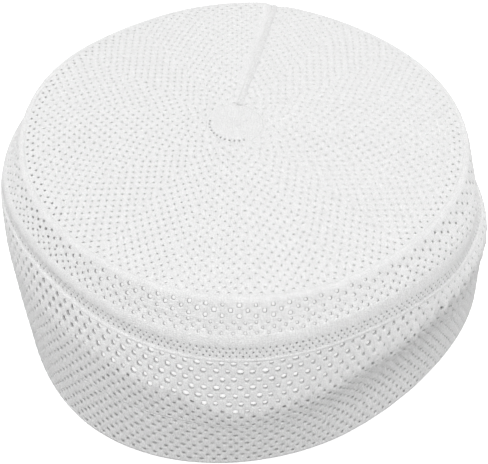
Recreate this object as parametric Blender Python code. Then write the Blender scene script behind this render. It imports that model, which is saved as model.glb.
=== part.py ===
"""Knitted prayer cap: an openwork crown gathered to a plain centre, a shoulder band, a side wall and its turned-up hem.

Metres, +Z up. The cap rests on its rim at z = 0, its front faces -Y, and the origin lies under the middle of its box.
Every piece is first turned plainly about the Z axis, then settled: each point moves to where the soft knit lies.
"""

import math

import bmesh
import bpy
from mathutils import Vector

MM = 0.001

# Driving sizes of the plain turned cap
RIM_RADIUS = 91.5 * MM
RIDGE_RADIUS = 94.5 * MM
RIDGE_HEIGHT = 63.7 * MM
WALL_BELLY = 1.0 * MM
GROOVE_RADIUS = 92.6 * MM
GROOVE_HEIGHT = 66.3 * MM
STRIP_RADIUS = 93.1 * MM
STRIP_HEIGHT = 69.9 * MM
WELT_RADIUS = 85.9 * MM
WELT_HEIGHT = 82.9 * MM
CENTRE_HEIGHT = 90.0 * MM
CLOSING_RADIUS = 9.8 * MM
KNIT = 1.6 * MM
GAP = 0.3 * MM
FOOT_HEIGHT = 1.4 * MM
SEAM_WIDTH = 3.6 * MM
SEAM_THICKNESS = 0.8 * MM
SEAM_DIRECTION = 81.3
TURN_STEPS = 72
SEAM_CROWDING = 1.35

# How far the settled cap is slid so that the origin lies under the middle of its box
BOX_MIDDLE = Vector((0.87, 0.41, 0.0)) * MM

# Plan of the crown and of the rim: number of lobes, share of the radius, direction of a lobe in degrees
CROWN_LOBES = (
    (2, 0.0103, 112.9),
    (3, 0.0071, 86.2),
    (4, 0.0131, -3.6),
)
RIM_LOBES = (
    (2, 0.0246, 39.8),
    (3, 0.0382, 13.4),
    (5, 0.0084, 14.7),
)
RIM_SHIFT = Vector((0.9, -1.2, 0.0)) * MM

# Slow rise and fall of the edges: number of waves, height, direction of a crest in degrees
SHOULDER_WAVES = (
    (1, 0.84 * MM, 155.9),
    (2, 1.02 * MM, 124.5),
    (3, 2.86 * MM, 81.6),
)
WELT_WAVES = (
    (1, 1.80 * MM, 86.3),
    (2, 2.02 * MM, -16.3),
    (3, 1.35 * MM, 21.6),
)

# Upper edge of the turned-up hem: direction in degrees, height, how far the wall creases over it
HEM_EDGE = (
    (-90.0, 31.0 * MM, 1.2 * MM),
    (-76.0, 35.0 * MM, 1.6 * MM),
    (-58.0, 42.0 * MM, 1.8 * MM),
    (-32.0, 46.0 * MM, 1.8 * MM),
    (20.0, 46.0 * MM, 0.8 * MM),
    (90.0, 44.0 * MM, 0.5 * MM),
    (160.0, 44.0 * MM, 0.5 * MM),
    (208.0, 44.0 * MM, 0.7 * MM),
    (235.0, 45.0 * MM, 0.7 * MM),
    (252.0, 40.0 * MM, 0.8 * MM),
)
CREASE_ABOVE = 15.0 * MM
CREASE_BELOW = 8.0 * MM

# Soft folds: direction in degrees, height, push outwards, spread in degrees, spread up and down
FOLDS = (
    (4.0, 65.0 * MM, -7.0 * MM, 15.0, 10.0 * MM),
    (-18.0, 58.0 * MM, -2.4 * MM, 12.0, 7.0 * MM),
    (-50.0, 20.0 * MM, -4.5 * MM, 20.0, 14.0 * MM),
    (125.0, 80.0 * MM, -3.6 * MM, 25.0, 9.0 * MM),
    (173.0, 75.0 * MM, -1.7 * MM, 18.0, 9.0 * MM),
    (215.0, 30.0 * MM, 1.1 * MM, 20.0, 16.0 * MM),
)

# Dents in the crown: middle x and y, half length, half width, direction of the length in degrees, depth
CROWN_DENTS = (
    (40.0 * MM, -17.0 * MM, 34.0 * MM, 11.0 * MM, -14.0, 2.2 * MM),
    (-64.0 * MM, -15.0 * MM, 13.0 * MM, 8.0 * MM, 40.0, 1.6 * MM),
)

# The seam lies in a shallow valley: the knit on its left stands higher than the knit on its right
LEFT_BANK = 1.7 * MM
RIGHT_BANK = 1.0 * MM
BANK_REACH = 16.0
BANK_TURN = 1.6
CLOSING_DRIFT = Vector((-4.2, 0.0, 0.0)) * MM


def ease(share):
    """Smooth step from 0 to 1."""
    share = min(max(share, 0.0), 1.0)
    return share * share * (3.0 - 2.0 * share)


def turn_between(direction, other):
    """Signed angle in degrees from one direction to another, between -180 and 180."""
    return (direction - other + 180.0) % 360.0 - 180.0


def lobes(table, direction):
    """Share by which a lobed plan stands out of its circle."""
    return sum(share * math.cos(math.radians(count * (direction - crest))) for count, share, crest in table)


def hem_edge(direction):
    """Height of the hem's upper edge and size of the crease over it, read between the table's rows."""
    for index, row in enumerate(HEM_EDGE):
        following = HEM_EDGE[(index + 1) % len(HEM_EDGE)]
        width = (following[0] - row[0]) % 360.0
        along = (direction - row[0]) % 360.0
        if along <= width:
            share = ease(along / width)
            return row[1] + (following[1] - row[1]) * share, row[2] + (following[2] - row[2]) * share
    return HEM_EDGE[0][1], HEM_EDGE[0][2]


def seam_bank(direction):
    """Rise of the knit beside the seam, fading away from it."""
    turn = turn_between(direction, SEAM_DIRECTION)
    height = LEFT_BANK if turn > 0.0 else RIGHT_BANK
    return height * math.tanh(abs(turn) / BANK_TURN) * math.exp(-abs(turn) / BANK_REACH)


def side_push(direction, height):
    """How far the folds and the crease over the hem's edge push the side of the cap outwards."""
    edge, crease = hem_edge(direction)
    away = (height - edge) / (CREASE_ABOVE if height > edge else CREASE_BELOW)
    up = min(max(height / RIDGE_HEIGHT, 0.0), 1.0)
    push = crease * math.exp(-away * away) * ease(up * 4.0) * ease((1.0 - up) * 4.0)
    for middle, fold_height, depth, spread, reach in FOLDS:
        across = turn_between(direction, middle) / spread
        along = (height - fold_height) / reach
        push += depth * math.exp(-across * across - along * along)
    return push


def crown_dip(point):
    """How far the dents lower the crown at a point."""
    dip = 0.0
    for middle_x, middle_y, half_length, half_width, heading, depth in CROWN_DENTS:
        east = point.x - middle_x
        north = point.y - middle_y
        cosine = math.cos(math.radians(heading))
        sine = math.sin(math.radians(heading))
        along = (east * cosine + north * sine) / half_length
        across = (north * cosine - east * sine) / half_width
        dip += depth * math.exp(-along * along - across * across)
    return dip


def settle(point):
    """Moves a point of the plain turned cap to where the soft, slightly uneven knit lies."""
    radius = math.hypot(point.x, point.y)
    direction = math.degrees(math.atan2(point.y, point.x))
    up = min(max(point.z / RIDGE_HEIGHT, 0.0), 1.0)
    over = ease((point.z - STRIP_HEIGHT) / (WELT_HEIGHT - STRIP_HEIGHT))
    inward = min(radius / WELT_RADIUS, 1.0)
    edge_share = inward * inward
    bank = seam_bank(direction) * edge_share * up
    push = side_push(direction, point.z) * edge_share + bank * 0.6
    plan = 1.0 + lobes(CROWN_LOBES, direction) * up + lobes(RIM_LOBES, direction) * (1.0 - up)
    settled = Vector((point.x, point.y, 0.0)) * (plan + push / max(radius, CLOSING_RADIUS))
    settled += RIM_SHIFT * (1.0 - up) + CLOSING_DRIFT * (1.0 - inward) ** 2 * over
    wave = lobes(SHOULDER_WAVES, direction) * (1.0 - over) + lobes(WELT_WAVES, direction) * edge_share * over
    settled.z = point.z + wave * up + bank - crown_dip(point) * over
    return settled - BOX_MIDDLE


def wall_radius(height):
    """Outer radius of the plain wall at a height."""
    share = height / RIDGE_HEIGHT
    return RIM_RADIUS + (RIDGE_RADIUS - RIM_RADIUS) * share + WALL_BELLY * 4.0 * share * (1.0 - share)


def crown_height(radius):
    """Height of the plain crown's upper face at a radius."""
    share = radius / WELT_RADIUS
    return CENTRE_HEIGHT + (WELT_HEIGHT - CENTRE_HEIGHT) * share * share


def offset(outline, distance):
    """The same open outline moved inwards, across its own direction, by a distance."""
    moved = []
    for index, (radius, height) in enumerate(outline):
        before = outline[max(index - 1, 0)]
        after = outline[min(index + 1, len(outline) - 1)]
        along = Vector((after[0] - before[0], after[1] - before[1])).normalized()
        moved.append((radius + along.y * distance, height - along.x * distance))
    return moved


def crowded(point):
    """Turns a point about Z so that the evenly turned rows lie closer together towards the seam."""
    turn = turn_between(math.degrees(math.atan2(point.y, point.x)), SEAM_DIRECTION)
    closer = math.copysign(180.0 * (abs(turn) / 180.0) ** SEAM_CROWDING, turn)
    aim = math.radians(SEAM_DIRECTION + closer)
    radius = math.hypot(point.x, point.y)
    return Vector((radius * math.cos(aim), radius * math.sin(aim), point.z))


def turned_ring(name, outline, material, closed=True, place=settle):
    """Turns an outline of (radius, height) points about Z and settles it. An open outline ends on the axis."""
    mesh = bmesh.new()
    aim = math.radians(SEAM_DIRECTION)
    corners = [mesh.verts.new((radius * math.cos(aim), radius * math.sin(aim), height)) for radius, height in outline]
    edges = [mesh.edges.new(pair) for pair in zip(corners, corners[1:])]
    if closed:
        edges.append(mesh.edges.new((corners[-1], corners[0])))
    bmesh.ops.spin(mesh, geom=corners + edges, cent=(0.0, 0.0, 0.0), axis=(0.0, 0.0, 1.0),
                   angle=2.0 * math.pi, steps=TURN_STEPS, use_merge=True)
    bmesh.ops.remove_doubles(mesh, verts=mesh.verts, dist=0.00001)
    for vert in mesh.verts:
        vert.co = crowded(vert.co)
    return finished(name, mesh, material, place)


def finished(name, mesh, material, place=settle):
    """Turns a plain mesh's faces outwards, settles it and makes it an object of the cap's collection."""
    bmesh.ops.recalc_face_normals(mesh, faces=mesh.faces)
    for vert in mesh.verts:
        vert.co = place(vert.co)
    data = bpy.data.meshes.new(name)
    mesh.to_mesh(data)
    mesh.free()
    data.shade_smooth()
    data.set_sharp_from_angle(angle=math.radians(40.0))
    data.materials.append(material)
    piece = bpy.data.objects.new(name, data)
    cap.objects.link(piece)
    return piece


def knit_material(name, shade, roughness):
    """White knitted yarn."""
    material = bpy.data.materials.new(name)
    material.use_nodes = True
    shader = material.node_tree.nodes["Principled BSDF"]
    shader.inputs["Base Color"].default_value = (shade, shade, shade, 1.0)
    shader.inputs["Roughness"].default_value = roughness
    shader.inputs["Metallic"].default_value = 0.0
    return material


def crown_top():
    """Openwork crown: a shallow dome with a round opening for the closing."""
    inner = CLOSING_RADIUS + GAP
    outer = WELT_RADIUS - 1.9 * MM
    rows = 9
    upper = []
    for row in range(rows, -1, -1):
        radius = inner + (outer - inner) * row / rows
        upper.append((radius, crown_height(radius)))
    upper.reverse()
    return turned_ring("crown_top", upper + offset(upper, KNIT)[::-1], knit_material("crown_knit", 0.86, 0.9))


def shoulder_band():
    """Sloping band from the welt at the crown's edge to the groove, where it tucks in behind the wall."""
    slope = Vector((STRIP_RADIUS - WELT_RADIUS, STRIP_HEIGHT - WELT_HEIGHT))
    outline = [
        (WELT_RADIUS - 1.6 * MM, crown_height(WELT_RADIUS - 1.6 * MM)),
        (WELT_RADIUS - 0.8 * MM, WELT_HEIGHT + 0.5 * MM),
        (WELT_RADIUS + 0.3 * MM, WELT_HEIGHT + 0.2 * MM),
        (WELT_RADIUS + 1.1 * MM, WELT_HEIGHT - 0.9 * MM),
    ]
    for share in (0.25, 0.5, 0.75, 0.92):
        outline.append((WELT_RADIUS + slope.x * share, WELT_HEIGHT + slope.y * share))
    outline += [
        (STRIP_RADIUS + 0.2 * MM, STRIP_HEIGHT),
        (STRIP_RADIUS, STRIP_HEIGHT - 1.4 * MM),
        (GROOVE_RADIUS, GROOVE_HEIGHT + 0.3 * MM),
        (GROOVE_RADIUS - 0.1 * MM, GROOVE_HEIGHT - 1.2 * MM),
        (RIDGE_RADIUS - KNIT - GAP - 0.1 * MM, RIDGE_HEIGHT - 1.8 * MM),
    ]
    return turned_ring("shoulder_band", outline + offset(outline, KNIT)[::-1], knit_material("band_knit", 0.84, 0.9))


def wall_rows(low, high, rows):
    """Heights of the wall's rows, from the highest to the lowest."""
    return [low + (high - low) * row / rows for row in range(rows, -1, -1)]


def side_wall():
    """Wall from the ridge down to the rim, where the knit folds under the hem in a flat foot."""
    ridge = [
        (RIDGE_RADIUS - KNIT, RIDGE_HEIGHT + 0.9 * MM),
        (RIDGE_RADIUS - 0.5 * MM, RIDGE_HEIGHT + 1.0 * MM),
        (RIDGE_RADIUS + 0.3 * MM, RIDGE_HEIGHT + 0.2 * MM),
        (RIDGE_RADIUS + 0.3 * MM, RIDGE_HEIGHT - 0.9 * MM),
    ]
    wall = [(wall_radius(height), height) for height in wall_rows(2.2 * MM, RIDGE_HEIGHT - 2.4 * MM, 12)]
    inner = offset(wall, KNIT)[::-1]
    foot = [
        (RIM_RADIUS - 0.3 * MM, 0.7 * MM),
        (RIM_RADIUS - 0.9 * MM, 0.0),
        (RIM_RADIUS - 3.0 * MM, 0.0),
        (RIM_RADIUS - 3.6 * MM, 0.6 * MM),
        (RIM_RADIUS - 3.5 * MM, FOOT_HEIGHT),
        (RIM_RADIUS - KNIT, FOOT_HEIGHT),
    ]
    return turned_ring("side_wall", ridge + wall + foot + inner, knit_material("wall_knit", 0.84, 0.9))


def inner_hem():
    """Second layer inside the wall: the knit turned up from the rim to an uneven upper edge."""
    base = FOOT_HEIGHT + GAP
    nominal = RIDGE_HEIGHT * 0.5
    outline = [(wall_radius(height) - KNIT - GAP, height) for height in wall_rows(base, nominal, 6)]
    outline += offset(outline, KNIT)[::-1]

    def raised(point):
        edge, _ = hem_edge(math.degrees(math.atan2(point.y, point.x)))
        height = base + (point.z - base) * (edge - base) / (nominal - base)
        radius = math.hypot(point.x, point.y)
        wider = 1.0 + (wall_radius(height) - wall_radius(point.z)) / radius
        return settle(Vector((point.x * wider, point.y * wider, height)))

    return turned_ring("inner_hem", outline, knit_material("hem_knit", 0.80, 0.9), place=raised)


def centre_closing():
    """Plain gathered disc that closes the crown, with a dimple where its stitches are drawn together."""
    top = crown_height(0.0)
    outline = [
        (0.0, top - 0.5 * MM),
        (1.4 * MM, top - 0.1 * MM),
        (3.4 * MM, top + 0.6 * MM),
        (6.6 * MM, top + 0.7 * MM),
        (8.8 * MM, top + 0.3 * MM),
        (CLOSING_RADIUS, top - 0.5 * MM),
        (CLOSING_RADIUS - 0.1 * MM, top - KNIT),
        (5.0 * MM, top - KNIT - 0.2 * MM),
        (0.0, top - KNIT - 0.6 * MM),
    ]
    return turned_ring("centre_closing", outline, knit_material("closing_knit", 0.86, 0.9), closed=False)


def seam_path():
    """Points (radius, height) just above the knit, from the closing over the crown and down to the rim."""
    start = CLOSING_RADIUS + 1.2 * MM
    path = []
    for row in range(9):
        radius = start + (WELT_RADIUS - 2.4 * MM - start) * row / 8
        path.append((radius, crown_height(radius)))
    path += [
        (WELT_RADIUS - 0.8 * MM, WELT_HEIGHT + 0.5 * MM),
        (WELT_RADIUS + 0.9 * MM, WELT_HEIGHT - 0.2 * MM),
        (WELT_RADIUS + 2.4 * MM, WELT_HEIGHT - 3.0 * MM),
        (STRIP_RADIUS + 0.1 * MM, STRIP_HEIGHT + 0.6 * MM),
        (STRIP_RADIUS + 0.5 * MM, STRIP_HEIGHT - 2.6 * MM),
        (RIDGE_RADIUS - 0.4 * MM, RIDGE_HEIGHT + 1.3 * MM),
        (RIDGE_RADIUS + 0.4 * MM, RIDGE_HEIGHT - 0.4 * MM),
    ]
    path += [(wall_radius(height), height) for height in wall_rows(3.0 * MM, RIDGE_HEIGHT - 3.2 * MM, 8)]
    return offset(path, -GAP)


def back_seam():
    """Raised linking seam that joins the knitted strip's two ends, from the closing to the rim."""
    path = seam_path()
    lift = offset(path, -SEAM_THICKNESS)
    columns = (0.5, 0.3, -0.3, -0.5)
    mesh = bmesh.new()
    bmesh.ops.create_grid(mesh, x_segments=len(columns) - 1, y_segments=len(path) - 1, size=0.5)
    bmesh.ops.solidify(mesh, geom=mesh.faces[:], thickness=0.5)
    half_way = sum(vert.co.z for vert in mesh.verts) / len(mesh.verts)
    aim = math.radians(SEAM_DIRECTION)
    outwards = Vector((math.cos(aim), math.sin(aim), 0.0))
    sideways = Vector((-math.sin(aim), math.cos(aim), 0.0))

    def laid(point):
        row = round((point.y + 0.5) * (len(path) - 1))
        column = round((point.x + 0.5) * (len(columns) - 1))
        above = point.z > half_way
        radius, height = (lift if above else path)[row]
        across = columns[column] * SEAM_WIDTH * (0.8 if above else 1.0)
        return settle(outwards * radius + sideways * across + Vector((0.0, 0.0, height)))

    return finished("back_seam", mesh, knit_material("seam_knit", 0.88, 0.85), laid)


for old in list(bpy.data.objects):
    bpy.data.objects.remove(old)
cap = bpy.data.collections.new("prayer_cap")
bpy.context.scene.collection.children.link(cap)

crown_top()
shoulder_band()
side_wall()
inner_hem()
centre_closing()
back_seam()
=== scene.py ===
"""A knitted prayer cap that rests on its rim: crown, shoulder band, side wall, turned-up hem and seam."""

import math

import bmesh
import bpy
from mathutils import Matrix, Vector, noise


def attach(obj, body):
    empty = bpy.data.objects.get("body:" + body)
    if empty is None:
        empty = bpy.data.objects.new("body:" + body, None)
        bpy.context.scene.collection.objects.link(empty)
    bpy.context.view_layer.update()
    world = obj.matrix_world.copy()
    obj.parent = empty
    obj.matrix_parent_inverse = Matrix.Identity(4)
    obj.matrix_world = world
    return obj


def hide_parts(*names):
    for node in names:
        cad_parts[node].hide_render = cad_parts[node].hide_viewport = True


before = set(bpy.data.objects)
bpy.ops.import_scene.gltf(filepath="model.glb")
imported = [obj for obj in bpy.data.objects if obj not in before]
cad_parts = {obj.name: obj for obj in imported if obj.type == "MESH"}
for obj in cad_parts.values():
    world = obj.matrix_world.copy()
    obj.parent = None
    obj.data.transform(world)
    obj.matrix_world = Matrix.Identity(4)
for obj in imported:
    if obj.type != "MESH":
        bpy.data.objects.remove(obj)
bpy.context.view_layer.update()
MM = 0.001

# ---- Crown ----
# The crown is one knitted strip of seventeen wedges, drawn into a round. Each wedge is a straight openwork
# lattice, so the rows of eyelets turn a little at every wedge. The knit is soft: it is settled as it lies.

RIDGE_HEIGHT = 63.7 * MM
STRIP_HEIGHT = 69.9 * MM
WELT_RADIUS = 85.9 * MM
WELT_HEIGHT = 82.9 * MM
CENTRE_HEIGHT = 90.0 * MM
CLOSING_RADIUS = 9.8 * MM
SEAM_DIRECTION = 81.3
BOX_MIDDLE = Vector((0.87, 0.41, 0.0)) * MM
# lobes: how many, share of the radius, direction in degrees
CROWN_LOBES = ((2, 0.0103, 112.9), (3, 0.0071, 86.2), (4, 0.0131, -3.6))
RIM_LOBES = ((2, 0.0246, 39.8), (3, 0.0382, 13.4), (5, 0.0084, 14.7))
RIM_SHIFT = Vector((0.9, -1.2, 0.0)) * MM
# waves: how many, height, direction of a crest in degrees
SHOULDER_WAVES = ((1, 0.84 * MM, 155.9), (2, 1.02 * MM, 124.5), (3, 2.86 * MM, 81.6))
WELT_WAVES = ((1, 1.80 * MM, 86.3), (2, 2.02 * MM, -16.3), (3, 1.35 * MM, 21.6))
# upper edge of the hem: direction in degrees, height, how far the wall creases over it
HEM_EDGE = (
    (-90.0, 31.0 * MM, 1.2 * MM),
    (-76.0, 35.0 * MM, 1.6 * MM),
    (-58.0, 42.0 * MM, 1.8 * MM),
    (-32.0, 46.0 * MM, 1.8 * MM),
    (20.0, 46.0 * MM, 0.8 * MM),
    (90.0, 44.0 * MM, 0.5 * MM),
    (160.0, 44.0 * MM, 0.5 * MM),
    (208.0, 44.0 * MM, 0.7 * MM),
    (235.0, 45.0 * MM, 0.7 * MM),
    (252.0, 40.0 * MM, 0.8 * MM),
)
CREASE_ABOVE = 15.0 * MM
CREASE_BELOW = 8.0 * MM
# all creases fade out within a quarter of the wall's height from the rim and from the ridge
CREASE_FADES = 4.0
# soft folds: direction in degrees, height, push outwards, spread in degrees, spread up and down
FOLDS = (
    (4.0, 65.0 * MM, -7.0 * MM, 15.0, 10.0 * MM),
    (-18.0, 58.0 * MM, -2.4 * MM, 12.0, 7.0 * MM),
    (-50.0, 20.0 * MM, -4.5 * MM, 20.0, 14.0 * MM),
    (125.0, 80.0 * MM, -3.6 * MM, 25.0, 9.0 * MM),
    (173.0, 75.0 * MM, -1.7 * MM, 18.0, 9.0 * MM),
    (215.0, 30.0 * MM, 1.1 * MM, 20.0, 16.0 * MM),
)
# dents in the crown: middle x and y, half length, half width, direction in degrees, depth
CROWN_DENTS = (
    (40.0 * MM, -17.0 * MM, 34.0 * MM, 11.0 * MM, -14.0, 2.2 * MM),
    (-64.0 * MM, -15.0 * MM, 13.0 * MM, 8.0 * MM, 40.0, 1.6 * MM),
)
LEFT_BANK = 1.7 * MM
RIGHT_BANK = 1.0 * MM
BANK_REACH = 16.0
BANK_TURN = 1.6
BANK_OUTWARDS = 0.6
CLOSING_DRIFT = Vector((-4.2, 0.0, 0.0)) * MM


def ease(share):
    share = min(max(share, 0.0), 1.0)
    return share * share * (3.0 - 2.0 * share)


def turn_between(direction, other):
    return (direction - other + 180.0) % 360.0 - 180.0


def lobes(table, direction):
    return sum(share * math.cos(math.radians(count * (direction - crest))) for count, share, crest in table)


def hem_edge(direction):
    for index, row in enumerate(HEM_EDGE):
        following = HEM_EDGE[(index + 1) % len(HEM_EDGE)]
        width = (following[0] - row[0]) % 360.0
        along = (direction - row[0]) % 360.0
        if along <= width:
            share = ease(along / width)
            return row[1] + (following[1] - row[1]) * share, row[2] + (following[2] - row[2]) * share
    return HEM_EDGE[0][1], HEM_EDGE[0][2]


def seam_bank(direction):
    turn = turn_between(direction, SEAM_DIRECTION)
    height = LEFT_BANK if turn > 0.0 else RIGHT_BANK
    return height * math.tanh(abs(turn) / BANK_TURN) * math.exp(-abs(turn) / BANK_REACH)


def side_push(direction, height):
    edge, crease = hem_edge(direction)
    away = (height - edge) / (CREASE_ABOVE if height > edge else CREASE_BELOW)
    up = min(max(height / RIDGE_HEIGHT, 0.0), 1.0)
    push = crease * math.exp(-away * away) * ease(up * CREASE_FADES) * ease((1.0 - up) * CREASE_FADES)
    for middle, fold_height, depth, spread, reach in FOLDS:
        across = turn_between(direction, middle) / spread
        along = (height - fold_height) / reach
        push += depth * math.exp(-across * across - along * along)
    return push


def crown_dip(point):
    dip = 0.0
    for middle_x, middle_y, half_length, half_width, heading, depth in CROWN_DENTS:
        east = point.x - middle_x
        north = point.y - middle_y
        cosine = math.cos(math.radians(heading))
        sine = math.sin(math.radians(heading))
        along = (east * cosine + north * sine) / half_length
        across = (north * cosine - east * sine) / half_width
        dip += depth * math.exp(-along * along - across * across)
    return dip


def settle(point):
    """Moves a point of the plain turned cap to where the soft knit lies, as the solids are settled."""
    radius = math.hypot(point.x, point.y)
    direction = math.degrees(math.atan2(point.y, point.x))
    up = min(max(point.z / RIDGE_HEIGHT, 0.0), 1.0)
    over = ease((point.z - STRIP_HEIGHT) / (WELT_HEIGHT - STRIP_HEIGHT))
    inward = min(radius / WELT_RADIUS, 1.0)
    edge_share = inward * inward
    bank = seam_bank(direction) * edge_share * up
    push = side_push(direction, point.z) * edge_share + bank * BANK_OUTWARDS
    plan = 1.0 + lobes(CROWN_LOBES, direction) * up + lobes(RIM_LOBES, direction) * (1.0 - up)
    settled = Vector((point.x, point.y, 0.0)) * (plan + push / max(radius, CLOSING_RADIUS))
    settled += RIM_SHIFT * (1.0 - up) + CLOSING_DRIFT * (1.0 - inward) ** 2 * over
    wave = lobes(SHOULDER_WAVES, direction) * (1.0 - over)
    wave += lobes(WELT_WAVES, direction) * edge_share * over
    settled.z = point.z + wave * up + bank - crown_dip(point) * over
    return settled - BOX_MIDDLE


def crown_height(radius):
    share = radius / WELT_RADIUS
    return CENTRE_HEIGHT + (WELT_HEIGHT - CENTRE_HEIGHT) * share * share


# width and height of one stitch
CROWN_STITCH = (0.97 * MM, 0.69 * MM)
STITCH_RELIEF = 0.3 * MM
YARN_GLOW = 0.25 * MM
# unevenness of the yarn: how fine, how rough, how strong
STITCH_WANDER = (600.0, 1.0, 2.6)
FIBRE_FUZZ = (1900.0, 2.0, 1.5)
SOFT_PATCHES = (420.0, 1.0, 0.5)


def knit_material(name, stitch_size, light, deep):
    """White polyester yarn in fine stitches: light on top of the loops, deep between them, a painted shade.
    """
    wale, course = stitch_size
    material = bpy.data.materials.new(name)
    material.use_nodes = True
    nodes, links = material.node_tree.nodes, material.node_tree.links
    shader = nodes["Principled BSDF"]
    shader.inputs["Roughness"].default_value = 0.82
    shader.inputs["Specular IOR Level"].default_value = 0.3
    shader.inputs["Sheen Weight"].default_value = 0.2
    shader.inputs["Sheen Roughness"].default_value = 0.5
    shader.inputs["Subsurface Weight"].default_value = 1.0
    shader.inputs["Subsurface Radius"].default_value = (1.0, 1.0, 1.0)
    shader.inputs["Subsurface Scale"].default_value = YARN_GLOW

    def sums(kind, first, second=None):
        node = nodes.new("ShaderNodeMath")
        node.operation = kind
        for socket, value in enumerate((first, second)):
            if isinstance(value, float):
                node.inputs[socket].default_value = value
            elif value is not None:
                links.new(value, node.inputs[socket])
        return node.outputs[0]

    place = nodes.new("ShaderNodeUVMap")
    place.uv_map = "knit"
    split = nodes.new("ShaderNodeSeparateXYZ")
    links.new(place.outputs["UV"], split.inputs["Vector"])
    spot = nodes.new("ShaderNodeTexCoord")

    def cloud(scale, detail, strength):
        node = nodes.new("ShaderNodeTexNoise")
        node.inputs["Scale"].default_value = scale
        node.inputs["Detail"].default_value = detail
        links.new(spot.outputs["Object"], node.inputs["Vector"])
        return sums("MULTIPLY", sums("SUBTRACT", node.outputs["Fac"], 0.5), strength)

    wander = cloud(*STITCH_WANDER)
    across = sums("FRACT", sums("ADD", sums("DIVIDE", split.outputs["X"], wale / MM), wander))
    lean = sums("MULTIPLY", sums("ABSOLUTE", sums("SUBTRACT", across, 0.5)), 2.0)
    course_place = sums("ADD", sums("DIVIDE", split.outputs["Y"], course / MM), wander)
    along = sums("ADD", course_place, sums("MULTIPLY", lean, 0.5))
    leg = sums("ABSOLUTE", sums("SINE", sums("MULTIPLY", along, math.pi)))
    rib = sums("SUBTRACT", 1.0, sums("POWER", lean, 4.0))
    stitch = sums("MULTIPLY", leg, rib)
    fuzz = sums("ADD", cloud(*FIBRE_FUZZ), cloud(*SOFT_PATCHES))
    relief = sums("ADD", stitch, fuzz)
    bump = nodes.new("ShaderNodeBump")
    bump.inputs["Strength"].default_value = 0.7
    bump.inputs["Distance"].default_value = STITCH_RELIEF
    links.new(relief, bump.inputs["Height"])
    links.new(bump.outputs["Normal"], shader.inputs["Normal"])
    # the colour is darker in the gaps between the loops, a painted shade, and varies at random with the fuzz
    gap_shade_and_tone = nodes.new("ShaderNodeMix")
    gap_shade_and_tone.data_type = "RGBA"
    gap_shade_and_tone.inputs["A"].default_value = (deep, deep, deep, 1.0)
    gap_shade_and_tone.inputs["B"].default_value = (light, light, light, 1.0)
    links.new(sums("ADD", sums("MULTIPLY", stitch, 0.8), sums("ADD", fuzz, 0.2)), gap_shade_and_tone.inputs["Factor"])
    links.new(gap_shade_and_tone.outputs["Result"], shader.inputs["Base Color"])
    return material


def flat_knit(columns, rows):
    """Flat sheet of knit, its corners at whole columns and rows, counted from 0."""
    sheet = bmesh.new()
    bmesh.ops.create_grid(sheet, x_segments=columns, y_segments=rows, size=0.5)
    for vert in sheet.verts:
        vert.co = Vector((round((vert.co.x + 0.5) * columns), round((vert.co.y + 0.5) * rows), 0.0))
    return sheet


def open_eyelets(sheet, chosen, size, dip, lip=0.0, height=1.0):
    """Opens an eyelet at each chosen point: its edge dips a little, and its lower loop stands out as a lip.

    The eyelet is as high as it is wide, times height.
    """
    made = bmesh.ops.bevel(sheet, geom=chosen, offset=size, offset_type="OFFSET", segments=1, profile=0.5,
                           affect="VERTICES", material=-1, clamp_overlap=False)
    gone = [face for face in made["faces"] if len(face.verts) == 4]
    for face in gone:
        middle = face.calc_center_median()
        reach = max(abs(vert.co.y - middle.y) for vert in face.verts)
        for vert in face.verts:
            vert.co.z = -dip - lip * (vert.co.y - middle.y) / reach
            vert.co.y = middle.y + (vert.co.y - middle.y) * height
    bmesh.ops.delete(sheet, geom=gone, context="FACES_ONLY")


def stamp_weave(sheet):
    """Keeps each corner's flat place, in millimetres, so that the stitches follow the knit."""
    layer = sheet.loops.layers.uv.new("knit")
    for face in sheet.faces:
        for loop in face.loops:
            loop[layer].uv = (loop.vert.co.x / MM, loop.vert.co.y / MM)


def dress(name, mesh, node, yarns, thickness, round_lips=True, thinner=1.0):
    """Makes a settled sheet an object of knit with a thickness, in place of its solid.

    Of each pair of yarns the second, a darker copy, paints shade inside the eyelets. Where the weight called
    full thickness is 0, the knit has only the share of it that thinner gives.
    """
    bmesh.ops.recalc_face_normals(mesh, faces=mesh.faces)
    data = bpy.data.meshes.new(name)
    mesh.to_mesh(data)
    mesh.free()
    data.shade_smooth()
    for yarn in yarns:
        data.materials.append(yarn)
    piece = bpy.data.objects.new(name, data)
    bpy.context.scene.collection.objects.link(piece)
    if thinner < 1.0:
        piece.vertex_groups.new(name="full thickness")
    for kind in (("SOLIDIFY", "SUBSURF") if round_lips else ("SUBSURF", "SOLIDIFY")):
        step = piece.modifiers.new(kind.lower(), kind)
        if kind == "SUBSURF":
            step.levels = 1
            step.render_levels = 1
            step.use_limit_surface = False
        else:
            step.thickness = thickness
            step.offset = -1.0
            # the eyelets' rims take the darker yarn: painted shade inside them
            step.material_offset_rim = 1 if len(yarns) > 1 else 0
            if thinner < 1.0:
                step.vertex_group = "full thickness"
                step.thickness_vertex_group = thinner
    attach(piece, "root")
    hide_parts(node)
    return piece


WEDGES = 17
WEDGE_HALF = math.pi / WEDGES
FIRST_ROW = 5
LAST_ROW = 41
EDGE_ROWS = 2
CROWN_ROW = 2.0725 * MM
CROWN_COLUMN = FIRST_ROW * CROWN_ROW * math.tan(WEDGE_HALF)
SPREAD_COLUMNS = 9
# corners nearer a wedge's side than this share of a column lie on it
MOVED_TO_SIDE = 0.45
SIDE_SLACK = 0.1 * MM
PLAIN_LEFT_OF_SEAM = 4.4 * MM
PLAIN_RIGHT_OF_SEAM = 1.2 * MM
CROWN_EYELET = 0.39 * MM
CROWN_DIP = 0.24 * MM
EDGE_EYELET = 0.55 * MM
EDGE_DIP = 0.28 * MM
RIGHT_TIGHTER = 0.06 * MM
CROWN_LOOP = 0.12 * MM
CROWN_KNIT = 0.8 * MM
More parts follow.
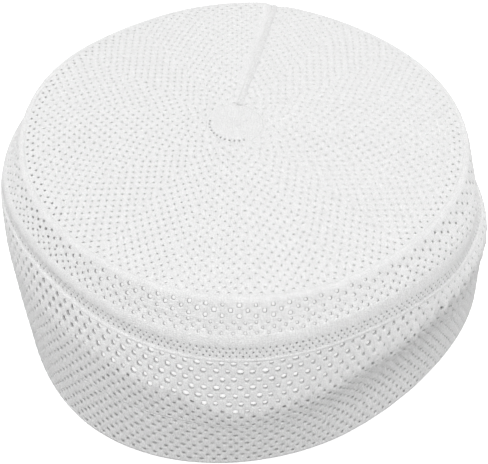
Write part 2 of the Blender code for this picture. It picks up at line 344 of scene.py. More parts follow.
# the knit's face stands this much above the plain solid's
CROWN_FACE = 0.25 * MM
# the rows run straight across each wedge near the middle, and round towards the edge
ROUND_FROM = 45.0 * MM
ROUND_OVER = 32.0 * MM
# waver of the soft knit: its seed, how fine it is, and for the crown how far it goes in millimetres
WAVER_SEED = 7
WAVER = 220.0
CROWN_LOOSENESS = 0.28
# where the neighbours cover the crown's edges: radius, over how far, and how deep the knit lies under them
UNDER_BAND = (84.1 * MM, 0.9 * MM, 0.45 * MM)
UNDER_CLOSING = (11.2 * MM, 1.2 * MM, 0.5 * MM)


def wedge_middle(index):
    """Direction of a wedge's middle line. The wedges are counted from the seam, first on its left."""
    return math.radians(SEAM_DIRECTION) + (2 * index + 1) * WEDGE_HALF


def crown_wedge(index):
    """One flat wedge of the crown, its point at the origin and its middle along +Y."""
    sheet = flat_knit(2 * SPREAD_COLUMNS, LAST_ROW - FIRST_ROW)
    eyelets = []
    edge_eyelets = []
    for vert in sheet.verts:
        column = round(vert.co.x) - SPREAD_COLUMNS
        row = round(vert.co.y) + FIRST_ROW
        side = row * CROWN_ROW * math.tan(WEDGE_HALF)
        place = column * CROWN_COLUMN
        beside = abs(place) - side
        vert.co = Vector((place, row * CROWN_ROW, 0.0))
        if abs(beside) < MOVED_TO_SIDE * CROWN_COLUMN:
            vert.co.x = math.copysign(side, place)
        plain = 0.0
        if index == 0 and place > 0.0:
            plain = PLAIN_LEFT_OF_SEAM
        if index == WEDGES - 1 and place < 0.0:
            plain = PLAIN_RIGHT_OF_SEAM
        if (column + row) % 2:
            vert.co.z = CROWN_LOOP
        elif beside < SIDE_SLACK - plain and FIRST_ROW < row < LAST_ROW:
            (edge_eyelets if row >= LAST_ROW - EDGE_ROWS else eyelets).append(vert)
    tighter = RIGHT_TIGHTER * math.cos(wedge_middle(index))
    open_eyelets(sheet, eyelets, CROWN_EYELET - tighter, CROWN_DIP)
    open_eyelets(sheet, [vert for vert in edge_eyelets if vert.is_valid], EDGE_EYELET - tighter, EDGE_DIP)
    stamp_weave(sheet)
    for turn in (1.0, -1.0):
        across = Vector((math.cos(WEDGE_HALF), -turn * math.sin(WEDGE_HALF), 0.0)) * turn
        bmesh.ops.bisect_plane(sheet, geom=sheet.verts[:] + sheet.edges[:] + sheet.faces[:], dist=0.02 * MM,
                               plane_co=(0.0, 0.0, 0.0), plane_no=across, clear_outer=True)
    return sheet


def crown_tuck(radius):
    """How far the crown's edges lie below its face, under the band and under the closing."""
    band_from, band_over, band_depth = UNDER_BAND
    closing_from, closing_over, closing_depth = UNDER_CLOSING
    under_band = band_depth * ease((radius - band_from) / band_over)
    return under_band + closing_depth * ease((closing_from - radius) / closing_over)


noise.seed_set(WAVER_SEED)
crown = bmesh.new()
for index in range(WEDGES):
    wedge = crown_wedge(index)
    middle = wedge_middle(index)
    for vert in wedge.verts:
        out = vert.co.y
        turn = math.atan2(vert.co.x, vert.co.y)
        rounder = ease((out - ROUND_FROM) / ROUND_OVER)
        radius = math.hypot(vert.co.x, vert.co.y) * (1.0 - rounder) + out * rounder
        vert.co.x = radius * math.cos(middle - turn)
        vert.co.y = radius * math.sin(middle - turn)
    wedge_mesh = bpy.data.meshes.new("wedge")
    wedge.to_mesh(wedge_mesh)
    wedge.free()
    crown.from_mesh(wedge_mesh)
    bpy.data.meshes.remove(wedge_mesh)
bmesh.ops.remove_doubles(crown, verts=crown.verts, dist=0.05 * MM)
for vert in crown.verts:
    radius = math.hypot(vert.co.x, vert.co.y)
    loose = noise.noise_vector(vert.co * WAVER) * CROWN_LOOSENESS * MM
    lift = vert.co.z + CROWN_FACE - crown_tuck(radius)
    vert.co = settle(Vector((vert.co.x + loose.x, vert.co.y + loose.y, crown_height(radius) + lift)))
# the crown's yarn is painted a little darker than the wall's: painted shade on the top
crown_yarn = knit_material("crown yarn", CROWN_STITCH, light=0.81, deep=0.65)
dress("crown_top_knit", crown, "crown_top", (crown_yarn,), CROWN_KNIT, round_lips=False)

# ---- Shoulder band ----
# Below the crown's welt the same knit slopes down: three rows of wide eyelets, three of smaller ones, a
# plain strip, and a narrow groove with three rows of the finest. It is knitted on from the crown.

# the band's and the wall's outer face: distance down from the welt, radius, height
OUTLINE = (
    (-6.0 * MM, 80.0 * MM, 83.84 * MM),
    (-3.0 * MM, 83.0 * MM, 83.42 * MM),
    (-1.0 * MM, 84.9 * MM, 83.22 * MM),
    (0.7 * MM, 86.35 * MM, 82.6 * MM),
    (2.3 * MM, 87.2 * MM, 81.4 * MM),
    (8.0 * MM, 89.8 * MM, 76.2 * MM),
    (13.2 * MM, 92.5 * MM, 71.6 * MM),
    (15.0 * MM, 93.35 * MM, 69.9 * MM),
    (18.5 * MM, 94.0 * MM, 66.5 * MM),
    (22.3 * MM, 94.5 * MM, 62.9 * MM),
    (26.0 * MM, 94.75 * MM, 59.8 * MM),
    (54.0 * MM, 94.1 * MM, 31.8 * MM),
    (83.6 * MM, 91.9 * MM, 2.2 * MM),
    (85.2 * MM, 91.3 * MM, 0.7 * MM),
    (86.4 * MM, 90.5 * MM, 0.1 * MM),
    (88.2 * MM, 88.8 * MM, 0.0 * MM),
    (90.0 * MM, 88.0 * MM, 0.8 * MM),
)


def outline_at(distance):
    """Radius, height and outward direction of the plain cap's face at a distance down from the welt."""
    index = 1
    while index < len(OUTLINE) - 2 and OUTLINE[index + 1][0] < distance:
        index += 1
    last = len(OUTLINE) - 1
    before, start, end, after = (OUTLINE[min(max(index + step, 0), last)] for step in (-1, 0, 1, 2))
    span = end[0] - start[0]
    share = min(max((distance - start[0]) / span, 0.0), 1.0)
    found = []
    for axis in (1, 2):
        leave = (end[axis] - before[axis]) / (end[0] - before[0]) * span
        arrive = (after[axis] - start[axis]) / (after[0] - start[0]) * span
        square, cube = share * share, share ** 3
        value = (2 * cube - 3 * square + 1) * start[axis] + (cube - 2 * square + share) * leave
        value += (3 * square - 2 * cube) * end[axis] + (cube - square) * arrive
        slope = (6 * square - 6 * share) * (start[axis] - end[axis])
        slope += (3 * square - 4 * share + 1) * leave + (3 * square - 2 * share) * arrive
        found.append((value, slope))
    outward = Vector((-found[1][1], found[0][1])).normalized()
    return found[0][0], found[1][0], outward


# way round the cap at the ridge, where it is widest
ROUND = 2.0 * math.pi * 95.0 * MM
# how far the band sags, where, and how far aside in degrees towards the back and the front
SAG = 9.0 * MM
SAG_DIRECTION = -5.0
SAG_TO_BACK = 35.0
SAG_TO_FRONT = 46.0
SAG_FULL_FROM = 20.0 * MM
SAG_ENDS = 76.0 * MM
SAG_FADES_OVER = 50.0 * MM
VALLEY_DEPTH = 1.3 * MM
VALLEY_DISTANCE = 21.2 * MM
VALLEY_WIDTH = 2.8 * MM
VALLEY_DIRECTION = 218.0
VALLEY_SPREAD = 32.0
# nearer the seam than this the knit wavers less
SEAM_HOLDS = 6.0 * MM


def sag(direction, distance):
    """On the right the soft band hangs lower, and the rows of the wall below it are pressed together."""
    turn = turn_between(direction, SAG_DIRECTION)
    spread = turn / (SAG_TO_BACK if turn > 0.0 else SAG_TO_FRONT)
    fade = ease(distance / SAG_FULL_FROM) * ease((SAG_ENDS - distance) / SAG_FADES_OVER)
    return SAG * math.exp(-spread * spread) * fade


def valley(direction, distance):
    """On the left front the band's finest rows lie in a shallow valley above the wall's ridge."""
    across = (distance - VALLEY_DISTANCE) / VALLEY_WIDTH
    along = turn_between(direction, VALLEY_DIRECTION) / VALLEY_SPREAD
    return VALLEY_DEPTH * math.exp(-across * across - along ** 2)


def wrap(sheet, looseness, hang=None):
    """Bends a flat sheet round the cap: +X goes round from the seam, -Y goes down, +Z outwards.

    The knit wavers by looseness, but the seam holds it. hang() gives the way down at which a row hangs.
    """
    for vert in sheet.verts:
        away = min(vert.co.x, ROUND - vert.co.x)
        loose = noise.noise_vector(Vector((vert.co.x, vert.co.y, 0.03)) * WAVER)
        loose = loose * looseness * ease(away / SEAM_HOLDS)
        aim = math.radians(SEAM_DIRECTION) + (vert.co.x + loose.x) / ROUND * 2.0 * math.pi
        distance = -(vert.co.y + loose.y)
        if hang:
            distance = hang(math.degrees(aim), distance)
        radius, height, outward = outline_at(distance + sag(math.degrees(aim), distance))
        out = vert.co.z - valley(math.degrees(aim), distance)
        radius += outward.x * out
        height += outward.y * out
        vert.co = settle(Vector((radius * math.cos(aim), radius * math.sin(aim), height)))
    bmesh.ops.remove_doubles(sheet, verts=sheet.verts, dist=0.04 * MM)


# eyelets come in sizes this far apart
EYELET_STEP = 0.1 * MM
PLAIN_BY_SEAM = 2.4 * MM
BAND_LOOP = 0.1 * MM
UNEVEN = 0.45


def unevenness(column, distance):
    """Share of its planned size that an eyelet has, as it varies from one to the next in soft knit."""
    return 1.0 + UNEVEN * noise.noise(Vector((column * 3.7, distance / MM * 5.3, 1.7)))


def band_of_knit(columns, rows, eyelet_rows, size_at, dip, lip, height=1.0):
    """Flat band with eyelets in every other column: a row is its distance below the welt and its face's lift.

    size_at() gives the eyelet's size at a direction and a distance, counted in EYELET_STEP.
    """
    sheet = flat_knit(columns, len(rows) - 1)
    by_size = {}
    for vert in sheet.verts:
        column = round(vert.co.x)
        row = len(rows) - 1 - round(vert.co.y)
        distance, lift = rows[row]
        vert.co = Vector((column * ROUND / columns, -distance, lift))
        if row in eyelet_rows:
            beside_seam = min(column, columns - column) * ROUND / columns
            if (column + row) % 2 == 0 and beside_seam > PLAIN_BY_SEAM:
                direction = SEAM_DIRECTION + 360.0 * column / columns
                size = round(size_at(direction, distance) * unevenness(column, distance))
                by_size.setdefault(size, []).append(vert)
            elif (column + row) % 2:
                vert.co.z += BAND_LOOP
    for size, chosen in by_size.items():
        open_eyelets(sheet, [vert for vert in chosen if vert.is_valid], size * EYELET_STEP, dip, lip, height)
    return sheet


STRETCHED_DIRECTION = -102.0
LEAST_STRETCHED = 0.25


def stretched(direction):
    """1 in front, where the knit is stretched open; less towards the sides and the back."""
    facing_front = max(math.cos(math.radians(turn_between(direction, STRETCHED_DIRECTION))), 0.0)
    return LEAST_STRETCHED + (1.0 - LEAST_STRETCHED) * facing_front ** 2


def joined(first, second):
    """Adds the second flat sheet below the first and knits their neighbouring edges together."""
    carried = bpy.data.meshes.new("carried")
    second.to_mesh(carried)
    second.free()
    lowest = min(vert.co.y for vert in first.verts)
    highest = max(vert.co.y for vert in carried.vertices)
    first.from_mesh(carried)
    bpy.data.meshes.remove(carried)

    def lies(edge, level):
        return edge.is_boundary and all(abs(vert.co.y - level) < 0.01 * MM for vert in edge.verts)

    edges = [edge for edge in first.edges if lies(edge, lowest) or lies(edge, highest)]
    bmesh.ops.bridge_loops(first, edges=edges)
    return first


def in_metres(rows):
    return [(distance * MM, lift * MM) for distance, lift in rows]


# rows of the band: distance below the welt and lift of the face, in millimetres
WELT_ROWS = ((-2.4, -0.6), (-1.7, -0.1), (-0.7, 0.1), (0.6, 0.1), (2.3, 0.05), (4.3, 0.0), (6.3, 0.0),
             (7.2, 0.0))
MIDDLE_ROWS = ((7.5, 0.0), (8.4, 0.0), (10.3, 0.0), (12.2, 0.0), (13.2, 0.0))
GROOVE_ROWS = ((13.5, 0.05), (15.4, 0.1), (17.0, 0.0), (18.2, -0.1), (20.1, -0.2), (22.0, -0.1),
               (22.7, -0.1), (23.2, -0.5))
WELT_COLUMNS = 184
MIDDLE_COLUMNS = 276
GROOVE_COLUMNS = 494
# eyelets in tenths of a millimetre
WIDE_EYELET = 8.8
MIDDLE_EYELET = 5.6
FINE_EYELET = 3.0
BAND_STITCH = (1.08 * MM, 0.69 * MM)
BAND_KNIT = 1.4 * MM
BAND_LOOSENESS = 0.25 * MM


def wide_eyelet(direction, distance):
    return WIDE_EYELET * stretched(direction)


def middle_eyelet(direction, distance):
    return MIDDLE_EYELET * stretched(direction)


def fine_eyelet(direction, distance):
    return FINE_EYELET


upper = band_of_knit(WELT_COLUMNS, in_metres(WELT_ROWS), (4, 5, 6), wide_eyelet,
                     dip=0.2 * MM, lip=0.25 * MM)
middle = band_of_knit(MIDDLE_COLUMNS, in_metres(MIDDLE_ROWS), (1, 2, 3), middle_eyelet,
                      dip=0.25 * MM, lip=0.15 * MM)
lower = band_of_knit(GROOVE_COLUMNS, in_metres(GROOVE_ROWS), (3, 4, 5), fine_eyelet,
                     dip=0.1 * MM, lip=0.1 * MM)
band = joined(joined(upper, middle), lower)
stamp_weave(band)
wrap(band, BAND_LOOSENESS)
band_yarn = knit_material("band yarn", BAND_STITCH, light=0.83, deep=0.63)
# inside the eyelets the same yarn is painted darker: painted shade
eyelet_shade_yarn = knit_material("painted shade inside eyelets", CROWN_STITCH, light=0.55, deep=0.4)
dress("shoulder_band_knit", band, "shoulder_band", (band_yarn, eyelet_shade_yarn), BAND_KNIT)

# ---- Side wall ----
# The wall hangs from a plain ridge, a tighter course that stands out. Its eyelets are the widest of the cap,
# half a space apart from row to row, and open right through above the hem. At the rim it folds under.

WALL_COLUMNS = 268
RIDGE_ROWS = ((22.3, -0.5), (22.9, -0.1), (23.4, 0.1), (24.0, 0.1), (24.6, 0.0), (25.2, -0.5))
RIDGE_KNIT = 1.2 * MM
RIDGE_LOOSENESS = 0.15 * MM
WALL_STITCH = (1.08 * MM, 0.79 * MM)
ridge = band_of_knit(WALL_COLUMNS, in_metres(RIDGE_ROWS), (), None, dip=0.0, lip=0.0)
stamp_weave(ridge)
wrap(ridge, RIDGE_LOOSENESS)
# the wall's yarn is painted lighter than the crown's: painted light on the side
wall_yarn = knit_material("wall yarn", WALL_STITCH, light=0.87, deep=0.65)
dress("wall_ridge_knit", ridge, "side_wall", (wall_yarn,), RIDGE_KNIT)

WALL_ROWS = 19
FIRST_WALL_ROW = 26.2 * MM
WALL_ROW = 4.28 * MM
LAST_WALL_ROW = FIRST_WALL_ROW + WALL_ROW * (WALL_ROWS - 1)
# a point's height above the rim and its way down from the welt together
HEIGHT_AND_DISTANCE = 85.8 * MM
LAST_ROW_HANGS = 81.8 * MM
# below the hem's edge the rows close up gently for this many rows
CLOSING_UP = 1.5
# the hem counts as behind the wall from this share of a row above its edge
DOUBLED_FROM = 0.4
# eyelets in tenths of a millimetre
WALL_EYELET = 2.5
WALL_STRETCH = 11.5
LEAST_WALL_EYELET = 2.0
DOUBLED_EYELET = 8.0
# on the right the wall is pinched: from how many degrees aside, how many more for each row down
PINCH_ASIDE = 34.0
PINCH_ROW = 7.0
PINCH_FADES = 0.6
DOUBLED_PINCH = 3.0
DOUBLED_PINCH_SPREAD = 38.0
WALL_DIP = 0.1 * MM
WALL_LIP = 0.2 * MM
WALL_EYELET_HEIGHT = 0.82
WALL_FACE = 0.1 * MM
FULLER_ABOVE = 0.15 * MM
FULLER_LOOP = 0.25 * MM
# nearly upright pleats, one every four columns
PLEAT_HEIGHT = 0.8 * MM
PLEAT_DIRECTION = -34.0
PLEAT_SPREAD = 22.0
PLEAT_STARTS = 26.5 * MM
PLEAT_RISES_OVER = 9.0 * MM
PLEAT_ENDS = 80.0 * MM
PLEAT_FADES_OVER = 30.0 * MM
PLEAT_COLUMNS = 4.0
WALL_KNIT = 1.5 * MM
WALL_LOOSENESS = 0.5 * MM
THINNER_OVER_HEM = 0.5
# the place of the darker yarn over the hem, a painted shade, among the wall's yarns
SHADED_BACKED = 2


def rows_to_hem(direction):
    """How many rows hang above the hem's upper edge."""
    edge = HEIGHT_AND_DISTANCE - hem_edge(direction)[0]
    return (edge - sag(direction, edge) - FIRST_WALL_ROW) / WALL_ROW


def hang(direction, distance):
    """The rows hang open down to the hem, and sit closer together where the knit is doubled."""
    if distance > LAST_WALL_ROW:
        return LAST_ROW_HANGS + distance - LAST_WALL_ROW
    open_rows = rows_to_hem(direction)
    edge = FIRST_WALL_ROW + open_rows * WALL_ROW
    close_row = (LAST_ROW_HANGS - edge) / (WALL_ROWS - 1 - open_rows)
    below = (distance - edge) / WALL_ROW
    crowded = below if below > CLOSING_UP else max(below + CLOSING_UP, 0.0) ** 2 / (4.0 * CLOSING_UP)
    return distance - (WALL_ROW - close_row) * crowded


def doubled(direction, distance):
    """Whether the hem lies behind the wall there."""
    return distance > FIRST_WALL_ROW + (rows_to_hem(direction) - DOUBLED_FROM) * WALL_ROW


def wall_eyelet(direction, distance):
    """Widest above the hem and smaller over it; on the right the wall is pinched and they close."""
    aside = abs(turn_between(direction, SAG_DIRECTION))
    if doubled(direction, distance):
        return DOUBLED_EYELET - DOUBLED_PINCH * math.exp(-(aside / DOUBLED_PINCH_SPREAD) ** 2)
    rows_left = (aside - PINCH_ASIDE) / PINCH_ROW - (distance - FIRST_WALL_ROW) / WALL_ROW
    unpinched = WALL_EYELET + WALL_STRETCH * stretched(direction)
    return max(unpinched * min(PINCH_FADES * rows_left, 1.0), LEAST_WALL_EYELET)


def pleat(direction, distance, column):
    """Push outwards of the low pleats on the wall's right front."""
    pleated = math.exp(-(turn_between(direction, PLEAT_DIRECTION) / PLEAT_SPREAD) ** 2)
    rising = ease((distance - PLEAT_STARTS) / PLEAT_RISES_OVER)
    pleated *= rising * ease((PLEAT_ENDS - distance) / PLEAT_FADES_OVER)
    return PLEAT_HEIGHT * pleated * math.cos(column * math.pi * 2.0 / PLEAT_COLUMNS)


def wall_of_knit(rows, eyelet_rows):
    """Part of the wall: thinner, with fuller stitches and painted shade over the hem, and pleated on the
    right.
    """
    sheet = band_of_knit(WALL_COLUMNS, rows, eyelet_rows, wall_eyelet, WALL_DIP, WALL_LIP, WALL_EYELET_HEIGHT)
    stamp_weave(sheet)
    full = sheet.verts.layers.deform.verify()
    for vert in sheet.verts:
        column = vert.co.x / ROUND * WALL_COLUMNS
        direction = SEAM_DIRECTION + 360.0 * column / WALL_COLUMNS
        backed = doubled(direction, -vert.co.y)
        vert[full][0] = 0.0 if backed else 1.0
        if backed and vert.co.z > FULLER_ABOVE:
            vert.co.z += FULLER_LOOP
        vert.co.z += pleat(direction, -vert.co.y, column)
    # faces over the hem take the darker yarn: painted shade on the lower wall
    for face in sheet.faces:
        middle = face.calc_center_median()
        direction = SEAM_DIRECTION + 360.0 * middle.x / ROUND
        face.material_index = SHADED_BACKED if doubled(direction, -middle.y) else 0
    wrap(sheet, WALL_LOOSENESS, hang)
    return sheet


# the wall is made in two pieces that meet halfway between two rows
ROWS_ABOVE = 10
ROWS_BELOW = WALL_ROWS - ROWS_ABOVE
meeting = (FIRST_WALL_ROW + WALL_ROW * (ROWS_ABOVE - 0.5), WALL_FACE)
wall_rows = [(FIRST_WALL_ROW + WALL_ROW * row, WALL_FACE) for row in range(WALL_ROWS)]
under_ridge = (23.6 * MM, -0.7 * MM)
rim_fold = [(LAST_WALL_ROW + step * MM, 0.0) for step in (1.9, 4.2, 7.0)]
# over the hem the wall's yarn is painted darker: painted shade
backed_shade_yarn = knit_material("wall yarn painted with shade over hem", WALL_STITCH, light=0.81, deep=0.56)
# inside the wall's eyelets the yarn is painted darker still: painted shade
wall_eyelet_shade_yarn = knit_material("painted shade inside wall eyelets", CROWN_STITCH, light=0.62, deep=0.46)
backed_eyelet_shade_yarn = knit_material("painted shade in eyelets over hem", CROWN_STITCH, light=0.7, deep=0.5)
wall_yarns = (wall_yarn, wall_eyelet_shade_yarn, backed_shade_yarn, backed_eyelet_shade_yarn)
upper_wall = wall_of_knit([under_ridge] + wall_rows[:ROWS_ABOVE] + [meeting], range(1, ROWS_ABOVE + 1))
dress("side_wall_knit_above", upper_wall, "side_wall", wall_yarns, WALL_KNIT,
      thinner=THINNER_OVER_HEM)
lower_wall = wall_of_knit([meeting] + wall_rows[ROWS_ABOVE:] + rim_fold, range(1, ROWS_BELOW + 1))
dress("side_wall_knit_below", lower_wall, "side_wall", wall_yarns, WALL_KNIT,
      thinner=THINNER_OVER_HEM)

# ---- Inner hem ----
# The same knit turned up inside the wall from the rim. Its cast-off edge runs unevenly round at half height,
# and shows outside only as a crease and as eyelets that no longer open through.

HEM_BEHIND = 0.8 * MM
HEM_LOWEST = 1.7 * MM
FIRST_HEM_ROW = 2
# rows that stay plain below the hem's edge, for its eyelets and for its fuller loops
HEM_PLAIN = 1.2
HEM_FLAT = 0.5
HEM_LOOP = 0.3 * MM
HEM_EYELET = 1.3 * MM
HEM_KNIT = 1.0 * MM
# the wall's inner side, in millimetres: radius at the rim, wider at the ridge, and bulging between them
RIM_RADIUS = 91.5
RIDGE_WIDER = 3.0
WALL_BULGE = 4.0


def wall_radius(height):
    share = height / RIDGE_HEIGHT
    return (RIM_RADIUS + RIDGE_WIDER * share + WALL_BULGE * share * (1.0 - share)) * MM


hem = flat_knit(WALL_COLUMNS, WALL_ROWS - FIRST_HEM_ROW)
hem_eyelets = []
above_edge = []
for vert in hem.verts:
    column = round(vert.co.x)
    row = WALL_ROWS - round(vert.co.y)
    by_seam = column <= 2 or column >= WALL_COLUMNS - 2
    open_rows = rows_to_hem(SEAM_DIRECTION + 360.0 * column / WALL_COLUMNS)
    fullness = 0.0
    if row < open_rows - 0.5:
        above_edge.append(vert)
    elif (column + row) % 2 and open_rows + HEM_FLAT < row < WALL_ROWS:
        fullness = HEM_LOOP
    elif (column + row) % 2 == 0 and open_rows + HEM_PLAIN < row < WALL_ROWS and not by_seam:
        hem_eyelets.append(vert)
    vert.co = Vector((column * ROUND / WALL_COLUMNS, -max(row, open_rows) * WALL_ROW, fullness))
open_eyelets(hem, hem_eyelets, HEM_EYELET, 0.0)
bmesh.ops.delete(hem, geom=above_edge, context="VERTS")
stamp_weave(hem)
for vert in hem.verts:
    aim = math.radians(SEAM_DIRECTION) + vert.co.x / ROUND * 2.0 * math.pi
    distance = hang(math.degrees(aim), FIRST_WALL_ROW - vert.co.y)
    distance += sag(math.degrees(aim), distance)
    height = max(HEIGHT_AND_DISTANCE - distance, HEM_LOWEST)
    radius = wall_radius(height) - HEM_BEHIND + vert.co.z
    vert.co = settle(Vector((radius * math.cos(aim), radius * math.sin(aim), height)))
bmesh.ops.remove_doubles(hem, verts=hem.verts, dist=0.04 * MM)
hem_yarn = knit_material("hem yarn", WALL_STITCH, light=0.86, deep=0.62)
dress("inner_hem_knit", hem, "inner_hem", (hem_yarn,), HEM_KNIT)

# ---- Centre closing ----
# A plain round of the same knit closes the crown. It is gathered to a dimple in the middle and held by a ring
# of stitches, whose holes show on the left and in front.

# distance from the middle and rise, in millimetres
CLOSING_PROFILE = ((0.0, -0.5), (1.1, -0.3), (2.4, 0.0), (4.4, 0.15), (6.4, 0.2), (7.9, 0.15), (8.8, 0.08),
                   (9.5, 0.0), (10.2, 0.05), (11.4, -0.4))
CLOSING_STEPS = 96
CLOSING_KNIT = 1.0 * MM
STITCH_RING = 9.5 * MM
STITCH_SPACING = 3
STITCH_HOLE = 0.42 * MM
STITCH_HOLE_DEPTH = 0.8 * MM
STITCH_PULL = 0.05 * MM
# the stitches are drawn tight round this direction, up to so many degrees aside, and fade out over so many
DRAWN_DIRECTION = 232.0
DRAWN_ASIDE = 98.0
DRAWN_FADES = 60.0
PUCKER = 0.16 * MM
PUCKER_GRAIN = 420.0
GATHER = 0.5
PUCKER_FROM = 2.5 * MM
PUCKER_TO = 9.2 * MM
PUCKER_FADES = 3.0 * MM
closing = bmesh.new()
corners = [closing.verts.new((out * MM, 0.0, rise * MM)) for out, rise in CLOSING_PROFILE]
strands = [closing.edges.new(pair) for pair in zip(corners, corners[1:])]
bmesh.ops.spin(closing, geom=corners + strands, cent=(0.0, 0.0, 0.0), axis=(0.0, 0.0, 1.0),
               angle=2.0 * math.pi, steps=CLOSING_STEPS, use_merge=True)
bmesh.ops.remove_doubles(closing, verts=closing.verts, dist=0.01 * MM)
stitch_holes = []
for vert in closing.verts:
    out = math.hypot(vert.co.x, vert.co.y)
    aim = math.degrees(math.atan2(vert.co.y, vert.co.x)) % 360.0
    drawn = ease((DRAWN_ASIDE - abs(aim - DRAWN_DIRECTION)) / DRAWN_FADES)
    pucker = noise.noise(vert.co * PUCKER_GRAIN) + GATHER * math.cos(math.radians(aim * WEDGES))
    vert.co.z += PUCKER * pucker * ease(out / PUCKER_FROM) * ease((PUCKER_TO - out) / PUCKER_FADES)
    if abs(out - STITCH_RING) < 0.1 * MM:
        vert.co.z -= STITCH_PULL * drawn
        if drawn > 0.5 and round(aim / 360.0 * CLOSING_STEPS) % STITCH_SPACING == 0:
            stitch_holes.append(vert)
open_eyelets(closing, stitch_holes, STITCH_HOLE, STITCH_HOLE_DEPTH)
stamp_weave(closing)
for vert in closing.verts:
    out = math.hypot(vert.co.x, vert.co.y)
    vert.co = settle(Vector((vert.co.x, vert.co.y, crown_height(out) + CROWN_FACE + vert.co.z)))
closing_yarn = knit_material("closing yarn", CROWN_STITCH, light=0.8, deep=0.64)
dress("centre_closing_knit", closing, "centre_closing", (closing_yarn, eyelet_shade_yarn),
      CLOSING_KNIT)

# ---- Back seam ----
# The knitted strip's two ends are linked edge to edge, from the closing to the rim. The seam is a low chain
# of loops in a shallow valley, with a plain roll of knit on its left.

SEAM_WIDTH = 1.4 * MM
SEAM_STEP = 1.15 * MM
SEAM_START = 11.0 * MM
SEAM_LOOP = 0.16 * MM
SEAM_KNIT = 0.8 * MM
# the seam stands this much above the outline's face
SEAM_FACE = 0.2 * MM
CROWN_RUN = 73.0 * MM
WALL_RUN = 84.0 * MM
# the wall's run starts this much above the welt's line
OVER_WELT = 2.0 * MM
# heights across the seam, in millimetres
SEAM_HEIGHTS = (-0.7, -0.3, -0.05, -0.05, -0.3, -0.7)
seam_length = CROWN_RUN + WALL_RUN
seam_rows = 2 * round(seam_length / (2.0 * SEAM_STEP))
seam_columns = len(SEAM_HEIGHTS) - 1
seam = flat_knit(seam_columns, seam_rows)
for vert in seam.verts:
    column = round(vert.co.x)
    row = round(vert.co.y)
    across = (column / seam_columns - 0.5) * SEAM_WIDTH
    loop = 0.0
    if 0 < column < seam_columns:
        loop = SEAM_LOOP if row % 2 else -SEAM_LOOP
    vert.co = Vector((across, -row * seam_length / seam_rows, SEAM_HEIGHTS[column] * MM + loop))
stamp_weave(seam)
seam_aim = math.radians(SEAM_DIRECTION)
seam_out = Vector((math.cos(seam_aim), math.sin(seam_aim), 0.0))
seam_left = Vector((-math.sin(seam_aim), math.cos(seam_aim), 0.0))
for vert in seam.verts:
    run = -vert.co.y
    if run < CROWN_RUN:
        radius = SEAM_START + run
        height = crown_height(radius) + CROWN_FACE + vert.co.z
    else:
        radius, height, outward = outline_at(run - CROWN_RUN - OVER_WELT)
        radius += outward.x * (vert.co.z + SEAM_FACE)
        height += outward.y * (vert.co.z + SEAM_FACE)
    vert.co = settle(seam_out * radius + seam_left * vert.co.x + Vector((0.0, 0.0, height)))
# the seam's yarn is painted darker than the crown's: painted shade of its valley
seam_yarn = knit_material("seam yarn", CROWN_STITCH, light=0.76, deep=0.58)
dress("back_seam_knit", seam, "back_seam", (seam_yarn,), SEAM_KNIT)

# ---- Floor, light and camera ----
# A plain white table in a white tent of soft light, brightest a little above the table, with one soft lamp
# high up in front. The camera looks down at the cap's front from the photograph's angle.

TABLE_HALF = 3.0
TABLE_GLOW = 0.9
# how high in the sky, from 0 below to 1 overhead, and how bright there
SKY = ((0.08, 0.14), (0.57, 1.17), (1.0, 1.0))
KEY_PLACE = Vector((0.0, -0.65, 1.15))
KEY_AIM = Vector((0.0, 0.0, 0.05))
KEY_SIZE = 0.35
KEY_POWER = 4.3
# the camera: its angle above the table, its distance in radii of the cap, and the height it aims at
CAMERA_UP = math.radians(42.5)
CAMERA_RADII = 8.3
CAMERA_REACH = CAMERA_RADII * 95.0 * MM
CAMERA_AIM = 38.0 * MM
SENSOR = 36.0
# the photograph: its size in pixels, the cap's radius in it, and the pixel where the camera's aim lies
PHOTO_WIDTH = 488.0
PHOTO_HEIGHT = 464.0
RADIUS_PIXELS = 236.4942
AIM_PIXEL_X = 243.008
AIM_PIXEL_Y = 223.177

floor_mesh = bmesh.new()
bmesh.ops.create_grid(floor_mesh, x_segments=8, y_segments=8, size=TABLE_HALF)
floor_data = bpy.data.meshes.new("table_top")
floor_mesh.to_mesh(floor_data)
floor_mesh.free()
table_top = bpy.data.objects.new("table_top", floor_data)
bpy.context.scene.collection.objects.link(table_top)
table_finish = bpy.data.materials.new("table finish")
table_finish.use_nodes = True
table_shader = table_finish.node_tree.nodes["Principled BSDF"]
table_shader.inputs["Base Color"].default_value = (0.5, 0.5, 0.5, 1.0)
table_shader.inputs["Roughness"].default_value = 0.9
table_shader.inputs["Emission Color"].default_value = (1.0, 1.0, 1.0, 1.0)
table_shader.inputs["Emission Strength"].default_value = TABLE_GLOW
floor_data.materials.append(table_finish)
# the table looks white, but casts no light up on the wall
table_top.visible_diffuse = False

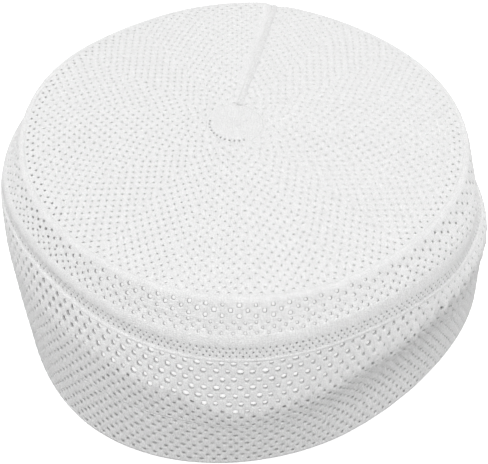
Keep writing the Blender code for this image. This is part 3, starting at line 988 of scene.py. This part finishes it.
room = bpy.data.worlds.new("studio")
room.use_nodes = True
room_nodes, room_links = room.node_tree.nodes, room.node_tree.links
facing = room_nodes.new("ShaderNodeTexCoord")
height = room_nodes.new("ShaderNodeSeparateXYZ")
room_links.new(facing.outputs["Generated"], height.inputs["Vector"])
fade = room_nodes.new("ShaderNodeValToRGB")
fade.color_ramp.interpolation = "EASE"
fade.color_ramp.elements.new(0.5)
for stop, (aloft, grey) in zip(fade.color_ramp.elements, SKY):
    stop.position = aloft
    stop.color = (grey, grey, grey, 1.0)
halved = room_nodes.new("ShaderNodeMath")
halved.operation = "MULTIPLY_ADD"
halved.inputs[1].default_value = 0.5
halved.inputs[2].default_value = 0.5
room_links.new(height.outputs["Z"], halved.inputs[0])
room_links.new(halved.outputs[0], fade.inputs["Fac"])
room_links.new(fade.outputs["Color"], room_nodes["Background"].inputs["Color"])
bpy.context.scene.world = room

key = bpy.data.lights.new("key light", "AREA")
key.shape = "DISK"
key.size = KEY_SIZE
key.energy = KEY_POWER
key_holder = bpy.data.objects.new("key light", key)
key_holder.location = KEY_PLACE
key_holder.rotation_euler = (KEY_AIM - KEY_PLACE).to_track_quat("-Z", "Y").to_euler()
bpy.context.scene.collection.objects.link(key_holder)

aimed_at = Vector((0.0, 0.0, CAMERA_AIM)) - BOX_MIDDLE
eye = bpy.data.cameras.new("camera")
eye.sensor_width = SENSOR
eye.lens = SENSOR * RADIUS_PIXELS * CAMERA_RADII / PHOTO_WIDTH
eye.shift_x = (PHOTO_WIDTH / 2.0 - AIM_PIXEL_X) / PHOTO_WIDTH
eye.shift_y = -(PHOTO_HEIGHT / 2.0 - AIM_PIXEL_Y) / PHOTO_WIDTH
camera = bpy.data.objects.new("camera", eye)
camera.location = aimed_at + Vector((0.0, -math.cos(CAMERA_UP), math.sin(CAMERA_UP))) * CAMERA_REACH
camera.rotation_euler = (math.radians(90.0) - CAMERA_UP, 0.0, 0.0)
bpy.context.scene.collection.objects.link(camera)
bpy.context.scene.camera = camera
bpy.context.scene.view_settings.view_transform = "Standard"
